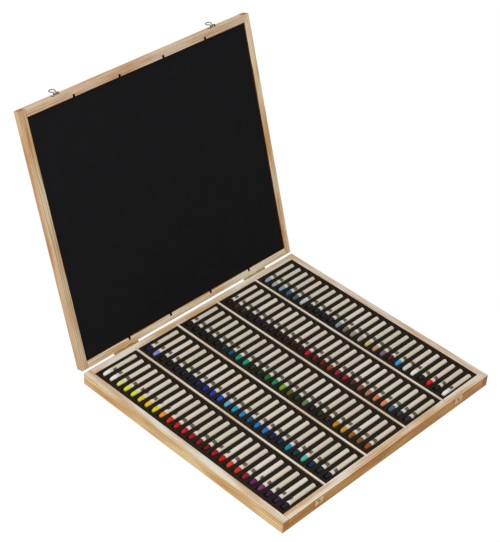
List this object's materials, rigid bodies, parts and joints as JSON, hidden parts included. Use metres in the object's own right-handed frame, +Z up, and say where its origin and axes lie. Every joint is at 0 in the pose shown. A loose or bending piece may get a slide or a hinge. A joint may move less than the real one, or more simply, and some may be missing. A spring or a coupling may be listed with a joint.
{
  "type": "oil pastel case",
  "caption": "Flat hinged wooden case with foam trays of paper-wrapped oil pastels, thin dividers, stop hinges and wire bail latches.",
  "frame": {"origin": "centre of the flat underside of the case's base, on the surface it stands on", "axes": "+X along the hinge line towards the blunt ends of the pastels, +Y from the latches to the hinges, +Z up; the lid leans open at rest"},
  "size_m": [0.46, 0.5764, 0.4248],
  "materials": {
    "bail_wire": "nickel-plated wire",
    "brass_fittings": "thin pressed brass, lightly dulled",
    "divider_wood": "thin sanded pale strips",
    "pad_foam": "black flocked foam, matt",
    "pastel_colours_1": "waxy oil pastel, whites through yellows and reds to violets",
    "pastel_colours_2": "waxy oil pastel, indigos and blues",
    "pastel_colours_3": "waxy oil pastel, blue-blacks, greens and ochres",
    "pastel_colours_4": "waxy oil pastel, browns, plums and salmon",
    "pastel_colours_5": "waxy oil pastel, greys, a red, black and white",
    "pine_rail": "sanded pale pine, clear matt lacquer",
    "plywood": "sanded birch plywood",
    "tray_foam": "black closed-cell foam, matt",
    "wrapper_paper": "cream paper, matt"
  },
  "bodies": {
    "base": {"base_back_rail": "pine_rail", "base_front_rail": "pine_rail", "base_hinge_screws": "brass_fittings", "base_latch_screws": "brass_fittings", "base_left_rail": "pine_rail", "base_panel": "plywood", "base_right_rail": "pine_rail", "divider_1": "divider_wood", "divider_2": "divider_wood", "divider_3": "divider_wood", "divider_4": "divider_wood", "foam_tray_1": "tray_foam", "foam_tray_2": "tray_foam", "foam_tray_3": "tray_foam", "foam_tray_4": "tray_foam", "foam_tray_5": "tray_foam", "hinge_left_base_leaf": "brass_fittings", "hinge_left_pin": "brass_fittings", "hinge_right_base_leaf": "brass_fittings", "hinge_right_pin": "brass_fittings", "latch_left_catch": "brass_fittings", "latch_right_catch": "brass_fittings", "pastel_papers_1": "wrapper_paper", "pastel_papers_2": "wrapper_paper", "pastel_papers_3": "wrapper_paper", "pastel_papers_4": "wrapper_paper", "pastel_papers_5": "wrapper_paper", "pastels_1": "pastel_colours_1", "pastels_2": "pastel_colours_2", "pastels_3": "pastel_colours_3", "pastels_4": "pastel_colours_4", "pastels_5": "pastel_colours_5"},
    "lid": {"hinge_left_lid_leaf": "brass_fittings", "hinge_right_lid_leaf": "brass_fittings", "latch_left_bracket": "brass_fittings", "latch_right_bracket": "brass_fittings", "lid_back_rail": "pine_rail", "lid_front_rail": "pine_rail", "lid_hinge_screws": "brass_fittings", "lid_latch_screws": "brass_fittings", "lid_left_rail": "pine_rail", "lid_pad": "pad_foam", "lid_panel": "plywood", "lid_right_rail": "pine_rail"},
    "left_bail": {"latch_left_bail": "bail_wire"},
    "right_bail": {"latch_right_bail": "bail_wire"}
  },
  "joints": [
    {"name": "lid_hinge", "type": "hinge", "parent": "base", "child": "lid", "pos_m": [0, 0.21165, 0.0212], "axis": [1, 0, 0], "range_deg": [0, 107.8]},
    {"name": "left_bail_pivot", "type": "hinge", "parent": "lid", "child": "left_bail", "pos_m": [-0.157, 0.34671, 0.42321], "axis": [1, 0, 0], "range_deg": [0, 168]},
    {"name": "right_bail_pivot", "type": "hinge", "parent": "lid", "child": "right_bail", "pos_m": [0.157, 0.34671, 0.42321], "axis": [1, 0, 0], "range_deg": [0, 168]}
  ]
}
